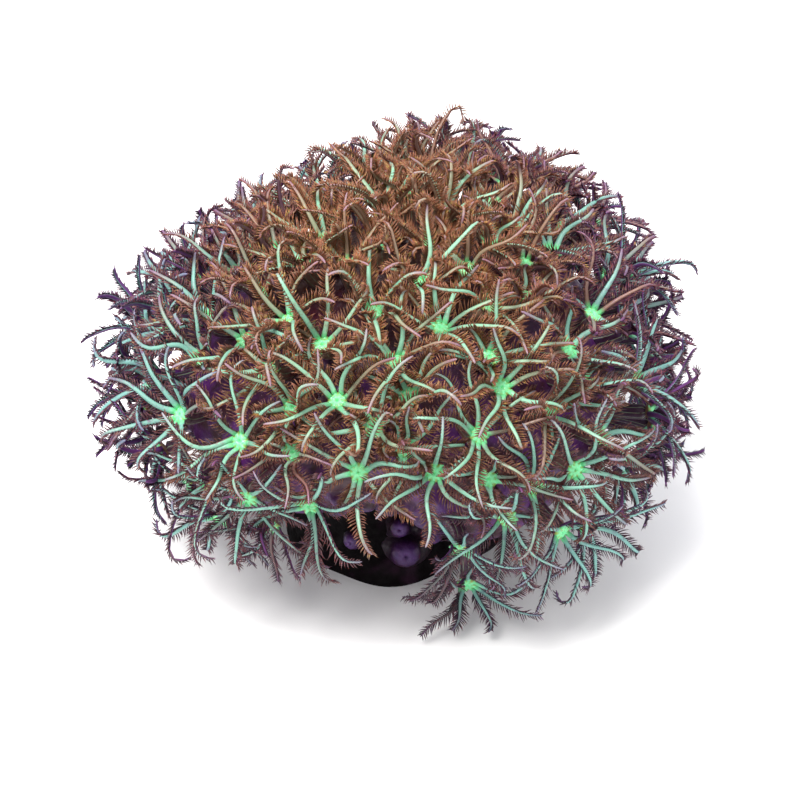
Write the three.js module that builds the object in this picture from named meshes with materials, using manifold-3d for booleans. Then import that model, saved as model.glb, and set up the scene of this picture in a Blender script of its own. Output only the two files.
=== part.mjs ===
// A colony of green star polyp: a lump of rock, a rubbery mat that has grown over it, and
// polyps that stand on the mat, each with a stalk, a round disc and eight tentacles.
// Millimetres, +Z up. The origin is the middle of the flat cut under the rock, and -Y is the front.
import * as THREE from "three";
import { mergeVertices } from "three/addons/utils/BufferGeometryUtils.js";
import Module from "manifold-3d";

const wasm = await Module();
wasm.setup();

// Driving dimensions of the lump
const MIDDLE = new THREE.Vector3(0, 0, 22.5);
const HALF_WIDTH = 26.5;
const HALF_DEPTH = 26;
const RISE = 16.6;
const DROP = 20;
const MAT_THICKNESS = 3;
const HEM_THICKNESS = 1.6;
const BASE_RADIUS = 16.5;
const FOOT_HEIGHT = 8.5;
const FOOT_SLOPE = 0.65;
const TOUCHING_GAP = 0.3;
const ROOT_DEPTH = 0.2;
const JOINING_TOLERANCE = 0.02;

// Driving dimensions of a polyp
const STALK_LENGTH = [4.2, 6.4];
const STALK_RADIUS = 1.05;
const DISC_RADIUS = 1.45;
const DISC_DEPTH = 0.9;
const DISC_DIMPLE = 0.25;
const TENTACLES = 8;
const TENTACLE_LENGTH = [6.8, 9];
const TENTACLE_HALF_WIDTH = 0.6;
const TIP_HALF_WIDTH = 0.08;
const MOST_RISE = 60;
const CROWN_RISE = 22;
const CROWN_UPTURN = 0.55;
const LEAST_GAP = 0.36;
const POLYP_SPACING = 5.38;
const FLOOR_CLEARANCE = 1.2;
const HEM_MARGIN = 0.12;
const MOUND_CLEARANCE = 3.2;
const MOUND_RADIUS = 1.8;
const MOUND_HEIGHT = 1.5;
const MOUND_ROOT = 0.7;
const OWN_NODES = 58;

// Where the colony is looked at from, and where the open discs of its front are seen from there,
// across and down a picture 800 units wide
const EYE_ELEVATION = THREE.MathUtils.degToRad(36);
const EYE_DISTANCE = 220;
const AIM = new THREE.Vector3(0.6, -3, 18.5);
const UNITS_PER_MM = 7.9;
const PICTURE_MIDDLE = 400;
const DISCS_SEEN = [
  [576, 470], [479, 435], [308, 507], [239, 441], [569, 349], [337, 400], [502, 387], [396, 360],
  [549, 412], [534, 487], [358, 473], [373, 427], [599, 439], [434, 473], [507, 519], [406, 449],
  [467, 586], [167, 332], [154, 379], [179, 414], [247, 499], [219, 520], [292, 407], [441, 327],
  [583, 379], [490, 356], [374, 311], [286, 320], [208, 318], [246, 340], [322, 344], [269, 368],
  [410, 396], [653, 362], [460, 551], [588, 527], [390, 214], [445, 218], [518, 182], [553, 250],
  [322, 205], [324, 240], [302, 262], [220, 260], [181, 287], [420, 284], [513, 230],
];

// The middle of the open view into the hollow under the front, and that view's half width in mm
const HOLLOW_SEEN = [385, 549];
const HOLLOW_VIEW_RADIUS = 5.2;

// Lobes and hollows of the lump: direction, height as a share of the radius, and sharpness
const LOBES = [
  [[0.5, 0.7, 0.5], 0.09, 7],
  [[-0.7, 0.41, 0.57], -0.24, 5],
  [[-0.95, -0.1, 0.2], 0.07, 6],
  [[0.75, -0.55, -0.1], 0.07, 8],
  [[-0.55, -0.8, 0.0], 0.05, 9],
  [[-0.3, 0.85, 0.45], -0.06, 14],
  [[0.38, -0.85, -0.4], 0.1, 16],
  [[-0.08, -0.9, -0.45], -0.2, 16],
].map(([direction, height, sharpness]) => {
  return { direction: new THREE.Vector3(...direction).normalize(), height, sharpness };
});

// Where the mat is bare under the front, apart from the discs that are seen there, and the closed
// polyps on it, in degrees round the lump and down from its top
const BARE_PATCHES = [
  { azimuth: -90, halfWidth: 20, fromPolar: 86 },
  { azimuth: -90, halfWidth: 65, fromPolar: 100 },
];
const CLOSED_POLYPS = [
  [-99, 104], [-88, 99], [-83, 108], [-93, 111], [-76, 102], [-104, 96], [-71, 109], [-107, 107],
  [-95, 93], [-79, 94],
];

// Closed polyps on the bare rock: degrees round it, share of the way down from its waist to its
// foot, and radius
const CLOSED_ON_ROCK = [
  [-109.5, 0.52, 1.2], [-88, 0.28, 1.3], [-85.5, 0.58, 1.9], [-73, 0.32, 1.6],
];

// A repeatable stream of numbers from 0 to 1
let streamState = 20417;
function nextRandom() {
  streamState = (streamState * 1664525 + 1013904223) % 4294967296;
  return streamState / 4294967296;
}

function between([low, high]) {
  return low + (high - low) * nextRandom();
}

// The direction at an azimuth round the lump and a polar angle down from its top
function towards(azimuth, polar) {
  const level = Math.sin(polar);
  return new THREE.Vector3(level * Math.cos(azimuth), level * Math.sin(azimuth), Math.cos(polar));
}

// The mat's surface is an ellipsoid, flatter above than below, times its lobes and hollows.
function matRadius(direction) {
  const height = direction.z > 0 ? RISE : DROP;
  const plain = 1 / Math.hypot(direction.x / HALF_WIDTH, direction.y / HALF_DEPTH, direction.z / height);
  let share = 1;
  for (const lobe of LOBES) {
    share += lobe.height * Math.exp(lobe.sharpness * (direction.dot(lobe.direction) - 1));
  }
  return plain * share;
}

function matPoint(direction, offset = 0) {
  return direction.clone().multiplyScalar(matRadius(direction) + offset).add(MIDDLE);
}

// The surface's outward normal, from how far points to either side stand above the surface
function matNormal(direction) {
  const step = 0.2;
  const point = matPoint(direction);
  const rise = (axis, sign) => {
    const moved = point.clone().sub(MIDDLE);
    moved[axis] += sign * step;
    return moved.length() - matRadius(moved.clone().normalize());
  };
  return new THREE.Vector3(
    rise("x", 1) - rise("x", -1),
    rise("y", 1) - rise("y", -1),
    rise("z", 1) - rise("z", -1),
  ).normalize();
}

// The mat's wavy lower edge, as an angle down from the top
function hemPolar(azimuth) {
  const waves = 4 * Math.sin(5 * azimuth + 2.6) - 5 * Math.cos(2 * azimuth);
  return THREE.MathUtils.degToRad(112 + waves);
}

const back = new THREE.Vector3(0, -Math.cos(EYE_ELEVATION), Math.sin(EYE_ELEVATION));
const up = new THREE.Vector3(0, Math.sin(EYE_ELEVATION), Math.cos(EYE_ELEVATION));
const eye = AIM.clone().addScaledVector(back, EYE_DISTANCE);

// The sight line through a point of the picture, run until it meets the layer where the discs stand
function discWhereSeen([across, down], stalk) {
  const sight = back.clone().multiplyScalar(-EYE_DISTANCE * UNITS_PER_MM);
  sight.x += across - PICTURE_MIDDLE;
  sight.addScaledVector(up, PICTURE_MIDDLE - down).normalize();
  let nearest = { above: Infinity };
  for (let run = EYE_DISTANCE - 60; run < EYE_DISTANCE + 60; run += 0.2) {
    const point = eye.clone().addScaledVector(sight, run);
    const fromMiddle = point.clone().sub(MIDDLE);
    const above = fromMiddle.length() - matRadius(fromMiddle.clone().normalize()) - stalk;
    if (above < nearest.above) nearest = { above, point };
    if (above <= 0) break;
  }
  return nearest.point;
}

// A polyp rooted in the given direction, with its disc where it is seen or else a stalk's length out
function polypAt(direction, seenDisc) {
  const stalk = between(STALK_LENGTH);
  const foot = matPoint(direction);
  const facing = matNormal(direction).multiplyScalar(0.75).addScaledVector(direction, 0.25);
  facing.x += 0.5 * (nextRandom() - 0.5);
  facing.y += 0.5 * (nextRandom() - 0.5);
  facing.z += 0.3 * (nextRandom() - 0.5);
  facing.z += direction.z > 0 ? CROWN_UPTURN * direction.z : -0.45 * direction.z;
  facing.normalize();
  const lean = facing.clone().add(direction).normalize();
  const disc = seenDisc ?? foot.clone().addScaledVector(lean, stalk);
  const stem = disc.clone().sub(foot).normalize();
  const across = new THREE.Vector3(-facing.y, facing.x, 0);
  if (across.length() < 0.1) across.set(1, 0, 0);
  across.normalize();
  const along = facing.clone().cross(across);
  const twist = nextRandom() * Math.PI / 4;
  return { direction, foot, disc, stem, facing, across, along, twist, tentacles: [] };
}

function degreesApart(a, b) {
  return Math.abs(((a - b + 540) % 360) - 180);
}

function isBare(direction) {
  const azimuth = THREE.MathUtils.radToDeg(Math.atan2(direction.y, direction.x));
  const polar = THREE.MathUtils.radToDeg(Math.acos(direction.z));
  return BARE_PATCHES.some((patch) => {
    return polar > patch.fromPolar && degreesApart(azimuth, patch.azimuth) < patch.halfWidth;
  });
}

// The direction of a disc's root: straight behind the disc, but never below the hem
function rootDirection(disc) {
  const behind = disc.clone().sub(MIDDLE).normalize();
  const azimuth = Math.atan2(behind.y, behind.x);
  return towards(azimuth, Math.min(Math.acos(behind.z), hemPolar(azimuth) - HEM_MARGIN));
}

// First the discs that are seen, then more wherever there is still room for one
function placePolyps() {
  const polyps = DISCS_SEEN.map((seen) => {
    const disc = discWhereSeen(seen, (STALK_LENGTH[0] + STALK_LENGTH[1]) / 2);
    return polypAt(rootDirection(disc), disc);
  });
  const lowestCosine = Math.cos(THREE.MathUtils.degToRad(110));
  for (let attempt = 0; attempt < 2600; attempt += 1) {
    const polar = Math.acos(1 - (1 - lowestCosine) * nextRandom());
    const azimuth = 2 * Math.PI * nextRandom();
    const direction = towards(azimuth, polar);
    const outer = matPoint(direction, STALK_LENGTH[0]);
    const crowded = polyps.some((other) => other.disc.distanceTo(outer) < POLYP_SPACING);
    if (polar > hemPolar(azimuth) - HEM_MARGIN || isBare(direction) || crowded) continue;
    polyps.push(polypAt(direction));
  }
  return polyps;
}

// Where two straight rods come closest, as a share of each one's length, and how far apart they are
function closestApproach(a, b) {
  const u = a.end.clone().sub(a.start);
  const v = b.end.clone().sub(b.start);
  const w = a.start.clone().sub(b.start);
  const uu = u.dot(u);
  const vv = v.dot(v);
  const uv = u.dot(v);
  const uw = u.dot(w);
  const vw = v.dot(w);
  const clamp = (x) => Math.min(1, Math.max(0, x));
  const crossing = uu * vv - uv * uv;
  let s = crossing > 1e-9 ? clamp((uv * vw - vv * uw) / crossing) : 0;
  let t = clamp((uv * s + vw) / vv);
  s = clamp((uv * t - uw) / uu);
  t = clamp((uv * s + vw) / vv);
  return { s, t, apart: w.addScaledVector(u, s).addScaledVector(v, -t).length() };
}

function halfWidth(rod, share) {
  return rod.base + (rod.tip - rod.base) * share;
}

function gapBetween(a, b) {
  const { s, t, apart } = closestApproach(a, b);
  return apart - halfWidth(a, s) - halfWidth(b, t);
}

function tentacleRod(polyp, angle, rise, length) {
  const radial = polyp.across.clone().multiplyScalar(Math.cos(angle));
  radial.addScaledVector(polyp.along, Math.sin(angle));
  const way = radial.clone().multiplyScalar(Math.cos(rise)).addScaledVector(polyp.facing, Math.sin(rise));
  const start = polyp.disc.clone().addScaledVector(radial, DISC_RADIUS * 0.6);
  const end = polyp.disc.clone().addScaledVector(radial, DISC_RADIUS).addScaledVector(way, length);
  return { start, end, angle, base: TENTACLE_HALF_WIDTH, tip: TIP_HALF_WIDTH };
}

// How far a point stands off the lump, its flared foot and the floor
function standOff(point) {
  const fromMiddle = point.clone().sub(MIDDLE);
  const offMat = fromMiddle.length() - matRadius(fromMiddle.clone().normalize());
  const footRadius = BASE_RADIUS + 1.5 - FOOT_SLOPE * point.z;
  const offFoot = Math.hypot(point.x, point.y) - footRadius;
  const onFoot = point.z < FOOT_HEIGHT;
  return Math.min(point.z - FLOOR_CLEARANCE, onFoot ? offFoot : offMat);
}

// Each tentacle takes the first rise, at the greatest length, that keeps clear of all its neighbours.
const TURNS_TO_TRY = [0, 0.15, -0.15];
const RISES_TO_TRY = [0, 17, -15, 34, 50];
const LENGTHS_TO_TRY = [1, 0.85, 0.7, 0.56, 0.43, 0.32];

function growTentacles(polyps) {
  const reach = 2 * TENTACLE_LENGTH[1] + 4;
  const hollow = discWhereSeen(HOLLOW_SEEN, 0);
  const hollowView = { start: hollow, base: HOLLOW_VIEW_RADIUS, tip: HOLLOW_VIEW_RADIUS };
  hollowView.end = hollow.clone().addScaledVector(eye.clone().sub(hollow).normalize(), reach);
  for (const polyp of polyps) {
    const stalkStart = polyp.foot.clone().addScaledVector(polyp.stem, -1);
    polyp.stalkRod = { start: stalkStart, end: polyp.disc, base: STALK_RADIUS, tip: DISC_RADIUS };
  }
  for (const polyp of polyps) {
    const near = polyps.filter((p) => p !== polyp && p.disc.distanceTo(polyp.disc) < reach);
    const rods = near.flatMap((p) => [p.stalkRod, ...p.tentacles]).concat(hollowView);
    for (let k = 0; k < TENTACLES; k += 1) {
      const angle = polyp.twist + (k + 0.24 * (nextRandom() - 0.5)) * (2 * Math.PI / TENTACLES);
      const wanted = between([2, 28]) + CROWN_RISE * Math.max(0, polyp.direction.z);
      const length = between(TENTACLE_LENGTH);
      let best = { gap: -Infinity };
      for (const share of LENGTHS_TO_TRY) {
        for (const more of RISES_TO_TRY) {
          const rise = THREE.MathUtils.degToRad(Math.min(MOST_RISE, wanted + more));
          for (const turn of TURNS_TO_TRY) {
            const rod = tentacleRod(polyp, angle + turn, rise, length * share);
            const gaps = rods.map((other) => gapBetween(rod, other));
            const gap = Math.min(standOff(rod.end), ...gaps);
            if (gap > best.gap) best = { gap, rod };
            if (best.gap > LEAST_GAP) break;
          }
          if (best.gap > LEAST_GAP) break;
        }
        if (best.gap > LEAST_GAP) break;
      }
      polyp.tentacles.push(best.rod);
    }
  }
}

function geometryOf(points, triangles) {
  const geometry = new THREE.BufferGeometry();
  const positions = points.flatMap((point) => point.toArray());
  geometry.setAttribute("position", new THREE.Float32BufferAttribute(positions, 3));
  geometry.setIndex(triangles);
  return geometry;
}

// A closed skin from a first pole, down through rings of points, to a last pole
function skinGeometry(firstPole, rings, lastPole) {
  const around = rings[0].length;
  const points = [firstPole, ...rings.flat(), lastPole];
  const at = (ring, i) => 1 + ring * around + (i % around);
  const triangles = [];
  for (let i = 0; i < around; i += 1) {
    triangles.push(0, at(0, i), at(0, i + 1));
    for (let ring = 0; ring + 1 < rings.length; ring += 1) {
      triangles.push(at(ring, i), at(ring + 1, i), at(ring + 1, i + 1));
      triangles.push(at(ring, i), at(ring + 1, i + 1), at(ring, i + 1));
    }
    triangles.push(points.length - 1, at(rings.length - 1, i + 1), at(rings.length - 1, i));
  }
  return geometryOf(points, triangles);
}

const AROUND = 24;
const MAT_RINGS = [0.13, 0.26, 0.39, 0.52, 0.64, 0.76, 0.87, 0.95];
const SEAT_RINGS = [0.2, 0.4, 0.6, 0.8, 1];
const SEAT_OVERRUN = 1.12;
const STRAIGHT_UP = new THREE.Vector3(0, 0, 1);

function azimuths() {
  return Array.from({ length: AROUND }, (_, i) => i * 2 * Math.PI / AROUND);
}

function ringBelow(hemShare, offset) {
  return azimuths().map((azimuth) => matPoint(towards(azimuth, hemShare * hemPolar(azimuth)), offset));
}

// The mat before the rock's room is taken out of it: its outside, closed off inwards from the hem
function fullMatSkin() {
  const outer = MAT_RINGS.map((share) => ringBelow(share, 0));
  const lip = ringBelow(1, HEM_THICKNESS - MAT_THICKNESS);
  return skinGeometry(matPoint(STRAIGHT_UP), [...outer, lip], MIDDLE.clone().setZ(MIDDLE.z - 3));
}

// The dome that the mat sits on, made of the same rings as the top of the rock
function seatRings(offset) {
  return SEAT_RINGS.map((share) => ringBelow(share, offset));
}

function seatSkin() {
  const below = ringBelow(SEAT_OVERRUN, -MAT_THICKNESS);
  const rings = [...seatRings(-MAT_THICKNESS), below];
  return skinGeometry(matPoint(STRAIGHT_UP, -MAT_THICKNESS), rings, new THREE.Vector3());
}

const ROCK_DEPTH = -MAT_THICKNESS - TOUCHING_GAP;

function rockWaist(azimuth) {
  const polar = 0.45 * hemPolar(azimuth) + 0.55 * THREE.MathUtils.degToRad(139);
  return matPoint(towards(azimuth, polar), ROCK_DEPTH + 0.9 * Math.sin(4 * azimuth + 2));
}

function rockFoot(azimuth) {
  const radius = BASE_RADIUS * (1 + 0.05 * Math.sin(3 * azimuth + 0.7) + 0.03 * Math.sin(7 * azimuth));
  return new THREE.Vector3(radius * Math.cos(azimuth), radius * Math.sin(azimuth), 0);
}

function rockSkin() {
  const sides = [azimuths().map(rockWaist), azimuths().map(rockFoot)];
  const rings = [...seatRings(ROCK_DEPTH), ...sides];
  return skinGeometry(matPoint(STRAIGHT_UP, ROCK_DEPTH), rings, new THREE.Vector3());
}

// A polyp as one faceted solid: a square stalk, an eight-sided disc with a dimple, and a
// three-sided tapering tentacle on each side of the disc
const STALK_SIDES = 4;

const TURN = 2 * Math.PI / TENTACLES;

function aroundDisc(polyp, angle, radius, height) {
  return polyp.disc.clone()
    .addScaledVector(polyp.across, radius * Math.cos(angle))
    .addScaledVector(polyp.along, radius * Math.sin(angle))
    .addScaledVector(polyp.facing, height);
}

function neckRing(polyp) {
  const corners = Array.from({ length: STALK_SIDES }, (_, j) => polyp.twist + (2 * j + 0.5) * TURN);
  return corners.map((angle) => aroundDisc(polyp, angle, STALK_RADIUS, -DISC_DEPTH));
}

function polypGeometry(polyp, foot) {
  const tips = polyp.tentacles.map((tentacle) => tentacle.end);
  const rim = tips.map((_, k) => aroundDisc(polyp, polyp.twist + (k - 0.5) * TURN, DISC_RADIUS, 0));
  const points = [aroundDisc(polyp, 0, 0, -DISC_DIMPLE), ...rim, ...tips, ...neckRing(polyp), ...foot];
  const rimAt = (k) => 1 + (k % TENTACLES);
  const tipAt = (k) => 1 + TENTACLES + k;
  const neckAt = (j) => 1 + 2 * TENTACLES + (j % STALK_SIDES);
  const footAt = (j) => neckAt(j) + STALK_SIDES;
  const neckUnder = (k) => neckAt(Math.floor((k % TENTACLES) / 2));
  const triangles = [];
  for (let k = 0; k < TENTACLES; k += 1) {
    triangles.push(0, rimAt(k), rimAt(k + 1));
    triangles.push(rimAt(k), tipAt(k), rimAt(k + 1));
    triangles.push(tipAt(k), rimAt(k), neckUnder(k));
    triangles.push(rimAt(k + 1), tipAt(k), neckUnder(k));
    if (k % 2 === 1) triangles.push(rimAt(k + 1), neckUnder(k), neckUnder(k + 1));
  }
  for (let j = 0; j < STALK_SIDES; j += 1) {
    triangles.push(neckAt(j + 1), neckAt(j), footAt(j));
    triangles.push(neckAt(j + 1), footAt(j), footAt(j + 1));
  }
  triangles.push(footAt(0), footAt(3), footAt(2), footAt(0), footAt(2), footAt(1));
  return geometryOf(points, triangles);
}

// A stalk that stands on the mat: its neck's corners run down onto the mat's own facets
function standingFoot(polyp, mat) {
  const down = polyp.stem.clone().negate();
  return neckRing(polyp).map((corner) => {
    const hit = new THREE.Raycaster(corner, down).intersectObject(mat)[0];
    return hit.point.addScaledVector(down, -TOUCHING_GAP);
  });
}

// A stalk that is one with the mat: its neck's corners moved straight down into it
function rootedFoot(polyp) {
  const depth = polyp.disc.distanceTo(polyp.foot) + ROOT_DEPTH;
  return neckRing(polyp).map((corner) => corner.addScaledVector(polyp.stem, -depth));
}

// The closed polyps' places, less those where an open one stands
function closedPolypDirections(polyps) {
  const inRadians = THREE.MathUtils.degToRad;
  const directions = CLOSED_POLYPS.map(([azimuth, polar]) => towards(inRadians(azimuth), inRadians(polar)));
  return directions.filter((direction) => {
    const spot = matPoint(direction);
    return polyps.every((polyp) => polyp.foot.distanceTo(spot) > MOUND_CLEARANCE);
  });
}

// A closed polyp: a low six-sided mound that stands on a point and faces out
function moundGeometry(base, out, radius, height) {
  const side = new THREE.Vector3(-out.y, out.x, 0).normalize();
  const over = out.clone().cross(side);
  const at = (rise) => base.clone().addScaledVector(out, rise);
  const ring = (reach, rise) => Array.from({ length: 6 }, (_, i) => at(rise)
    .addScaledVector(side, reach * Math.cos(i * Math.PI / 3))
    .addScaledVector(over, reach * Math.sin(i * Math.PI / 3)));
  const shoulder = ring(0.6 * radius, 0.83 * height);
  const root = ring(radius, -MOUND_ROOT);
  return skinGeometry(at(height), [shoulder, root], at(-MOUND_ROOT - 0.1));
}

function closedOnMat(direction) {
  return moundGeometry(matPoint(direction), matNormal(direction), MOUND_RADIUS, MOUND_HEIGHT);
}

function closedOnRock([degrees, share, radius]) {
  const azimuth = THREE.MathUtils.degToRad(degrees);
  const waist = rockWaist(azimuth);
  const down = rockFoot(azimuth).sub(waist);
  const round = new THREE.Vector3(-Math.sin(azimuth), Math.cos(azimuth), 0);
  const out = down.clone().cross(round).normalize();
  return moundGeometry(waist.addScaledVector(down, share), out, radius, radius);
}

function solidOf(geometry) {
  const bare = new THREE.BufferGeometry().setAttribute("position", geometry.getAttribute("position"));
  bare.setIndex(geometry.index);
  const merged = mergeVertices(bare, 1e-4);
  return new wasm.Manifold(new wasm.Mesh({
    numProp: 3,
    vertProperties: merged.getAttribute("position").array,
    triVerts: new Uint32Array(merged.index.array),
  }));
}

function geometryFrom(solid) {
  const mesh = solid.getMesh();
  const geometry = new THREE.BufferGeometry();
  geometry.setAttribute("position", new THREE.BufferAttribute(mesh.vertProperties, mesh.numProp));
  geometry.setIndex(new THREE.BufferAttribute(mesh.triVerts, 1));
  return geometry;
}

const rockFinish = new THREE.MeshStandardMaterial({ color: 0x2b2422, roughness: 0.95, metalness: 0 });
const matFinish = new THREE.MeshStandardMaterial({ color: 0x5b2f73, roughness: 0.45, metalness: 0 });
const polypFinish = new THREE.MeshStandardMaterial({ color: 0x8fa384, roughness: 0.5, metalness: 0 });

const colony = new THREE.Group();

function addNode(name, geometry, finish) {
  const mesh = new THREE.Mesh(geometry, finish);
  mesh.name = name;
  geometry.computeVertexNormals();
  colony.add(mesh);
  return mesh;
}

const polyps = placePolyps();
growTentacles(polyps);

const rockParts = [rockSkin(), ...CLOSED_ON_ROCK.map(closedOnRock)].map(solidOf);
const rockSolid = wasm.Manifold.union(rockParts).simplify(JOINING_TOLERANCE);
addNode("rock", geometryFrom(rockSolid), rockFinish);

const plainMat = solidOf(fullMatSkin()).subtract(solidOf(seatSkin()));
const matSurface = new THREE.Mesh(geometryFrom(plainMat));
matSurface.updateMatrixWorld(true);

// The polyps of the front stand as nodes of their own, and the crowd behind them is one with the mat.
polyps.slice(0, OWN_NODES).forEach((polyp, i) => {
  const name = "polyp_" + String(i + 1).padStart(2, "0");
  addNode(name, polypGeometry(polyp, standingFoot(polyp, matSurface)), polypFinish);
});
const crowd = polyps.slice(OWN_NODES).map((polyp) => polypGeometry(polyp, rootedFoot(polyp)));
const mounds = closedPolypDirections(polyps).map(closedOnMat);
const grown = [...crowd, ...mounds].map(solidOf);
const matSolid = wasm.Manifold.union([plainMat, ...grown]).simplify(JOINING_TOLERANCE);
addNode("mat", geometryFrom(matSolid), matFinish);

export default colony;
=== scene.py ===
"""A colony of green star polyp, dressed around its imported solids: a rock, the rubbery mat that has
grown over it, and the open polyps, each with a stalk, a disc and eight arms with combs of pinnules.

Shapes are worked out in millimetres, in the same frame as the solids, and become metres in the mesh.
"""
import math

import bpy
import numpy as np
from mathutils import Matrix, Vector


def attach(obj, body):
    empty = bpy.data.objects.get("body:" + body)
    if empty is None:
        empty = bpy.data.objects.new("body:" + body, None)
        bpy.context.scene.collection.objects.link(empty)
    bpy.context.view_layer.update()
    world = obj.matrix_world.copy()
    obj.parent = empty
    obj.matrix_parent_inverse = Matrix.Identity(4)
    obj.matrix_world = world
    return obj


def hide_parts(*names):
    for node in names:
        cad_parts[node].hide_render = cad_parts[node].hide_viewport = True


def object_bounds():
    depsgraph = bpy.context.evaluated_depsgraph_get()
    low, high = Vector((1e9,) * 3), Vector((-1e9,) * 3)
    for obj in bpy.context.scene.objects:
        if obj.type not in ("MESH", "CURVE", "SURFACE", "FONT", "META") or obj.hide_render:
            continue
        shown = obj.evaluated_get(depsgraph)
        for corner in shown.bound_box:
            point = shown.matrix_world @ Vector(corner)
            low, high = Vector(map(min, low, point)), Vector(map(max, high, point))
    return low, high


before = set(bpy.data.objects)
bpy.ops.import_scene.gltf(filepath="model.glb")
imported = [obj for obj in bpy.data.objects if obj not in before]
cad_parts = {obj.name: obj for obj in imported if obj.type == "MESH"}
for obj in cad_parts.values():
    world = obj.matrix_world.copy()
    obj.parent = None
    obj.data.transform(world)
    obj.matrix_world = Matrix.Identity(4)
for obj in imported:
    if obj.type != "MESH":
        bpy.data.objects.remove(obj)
CAD_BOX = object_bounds()

MM = 0.001

# Driving dimensions of the lump, as the solids have them
MIDDLE = np.array([0.0, 0.0, 22.5])
HALF_WIDTH = 26.5
HALF_DEPTH = 26
RISE = 16.6
DROP = 20
MAT_THICKNESS = 3
BASE_RADIUS = 16.5
FOOT_HEIGHT = 8.5
FOOT_SLOPE = 0.65
TOUCHING_GAP = 0.3

# Driving dimensions of a polyp, as the solids have them. Rises and LOWEST_POLAR are in degrees, and
# HEM_MARGIN is in radians.
STALK_LENGTH = (4.2, 6.4)
STALK_RADIUS = 1.05
DISC_RADIUS = 1.45
TENTACLES = 8
TENTACLE_LENGTH = (6.8, 9)
TENTACLE_HALF_WIDTH = 0.6
TIP_HALF_WIDTH = 0.08
MOST_RISE = 60
CROWN_RISE = 22
TENTACLE_RISE = (2, 28)
ANGLE_SPREAD = 0.24
CROWN_UPTURN = 0.55
LOW_UPTURN = 0.45
LEAST_GAP = 0.36
POLYP_SPACING = 5.38
FLOOR_CLEARANCE = 1.2
HEM_MARGIN = 0.12
LOWEST_POLAR = 110
MOUND_CLEARANCE = 3.2
OWN_NODES = 58
DARTS = 2600

# Where the colony is looked at from, and where its open discs are seen, in a picture 800 units wide
EYE_ELEVATION = math.radians(36)
EYE_DISTANCE = 220
AIM = np.array([0.6, -3, 18.5])
UNITS_PER_MM = 7.9
PICTURE_WIDTH = 800
SEARCH_DEPTH = 60
SEARCH_STEP = 0.2
DISCS_SEEN = [
    (576, 470), (479, 435), (308, 507), (239, 441), (569, 349), (337, 400), (502, 387), (396, 360),
    (549, 412), (534, 487), (358, 473), (373, 427), (599, 439), (434, 473), (507, 519), (406, 449),
    (467, 586), (167, 332), (154, 379), (179, 414), (247, 499), (219, 520), (292, 407), (441, 327),
    (583, 379), (490, 356), (374, 311), (286, 320), (208, 318), (246, 340), (322, 344), (269, 368),
    (410, 396), (653, 362), (460, 551), (588, 527), (390, 214), (445, 218), (518, 182), (553, 250),
    (322, 205), (324, 240), (302, 262), (220, 260), (181, 287), (420, 284), (513, 230),
]

# The middle of the open view into the hollow under the front, and that view's half width
HOLLOW_SEEN = (385, 549)
HOLLOW_VIEW_RADIUS = 5.2

# Lobes and hollows of the lump: direction, height as a share of the radius, and sharpness
LOBES = [
    ((0.5, 0.7, 0.5), 0.09, 7),
    ((-0.7, 0.41, 0.57), -0.24, 5),
    ((-0.95, -0.1, 0.2), 0.07, 6),
    ((0.75, -0.55, -0.1), 0.07, 8),
    ((-0.55, -0.8, 0.0), 0.05, 9),
    ((-0.3, 0.85, 0.45), -0.06, 14),
    ((0.38, -0.85, -0.4), 0.1, 16),
    ((-0.08, -0.9, -0.45), -0.2, 16),
]

# The hollow at the front, which lies in shade and is given painted shade, and how sharply that painted
# shade fades round it
HOLLOW = (-0.08, -0.86, -0.5)
HOLLOW_SHARPNESS = 14

# Bare stretches of the mat, as the middle, half width and start, and the closed polyps on it: all in
# degrees round the lump and down from its top
BARE_PATCHES = [(-90, 20, 86), (-90, 65, 100)]
CLOSED_POLYPS = [
    (-99, 104), (-88, 99), (-83, 108), (-93, 111), (-76, 102), (-104, 96), (-71, 109), (-107, 107),
    (-95, 93), (-79, 94),
]

# Closed polyps on the bare rock: degrees round it, share of the way down from waist to foot, and radius
CLOSED_ON_ROCK = [(-109.5, 0.52, 1.2), (-88, 0.28, 1.3), (-85.5, 0.58, 1.9), (-73, 0.32, 1.6)]


def unit(vectors):
    """Vectors divided by their lengths."""
    return vectors / np.linalg.norm(vectors, axis=-1, keepdims=True)


def dot(a, b):
    """The sum of the products of the components, kept as a last axis of one."""
    return np.sum(a * b, axis=-1, keepdims=True)


def smooth_step(low, high, x):
    """0 at low, 1 at high, and the cubic 3t² − 2t³ between them, whichever is the greater."""
    t = np.clip((x - low) / (high - low), 0, 1)
    return t * t * (3 - 2 * t)


def bell(x):
    """exp(−x²): 1 at nought, falling to nothing either side."""
    return np.exp(-x * x)


class Stream:
    """The repeatable numbers from 0 to 1 that the solids' polyps are placed by."""

    def __init__(self, state):
        self.state = state

    def next(self):
        """Each state is the last times 1664525 plus 1013904223, less whole multiples of 2**32, and each
        number is its state's share of 2**32."""
        self.state = (self.state * 1664525 + 1013904223) % 2**32
        return self.state / 2**32

    def between(self, limits):
        """The next number, stretched to run between two limits."""
        return limits[0] + (limits[1] - limits[0]) * self.next()


# The lump

def towards(azimuth, polar):
    """Unit vectors at angles round the lump and down from its top."""
    reach = np.sin(polar)
    return np.stack([reach * np.cos(azimuth), reach * np.sin(azimuth), np.cos(polar)], axis=-1)


def mat_radius(direction):
    """An ellipsoid, flatter above than below, times 1 plus a bump exp(sharpness (cos angle − 1)) for
    each lobe."""
    height = np.where(direction[..., 2] > 0, RISE, DROP)
    x = direction[..., 0] / HALF_WIDTH
    y = direction[..., 1] / HALF_DEPTH
    z = direction[..., 2] / height
    share = 1.0
    for lobe, lobe_height, sharpness in LOBES:
        cosine = direction @ unit(np.array(lobe))
        share = share + lobe_height * np.exp(sharpness * (cosine - 1))
    return share / np.sqrt(x * x + y * y + z * z)


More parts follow.
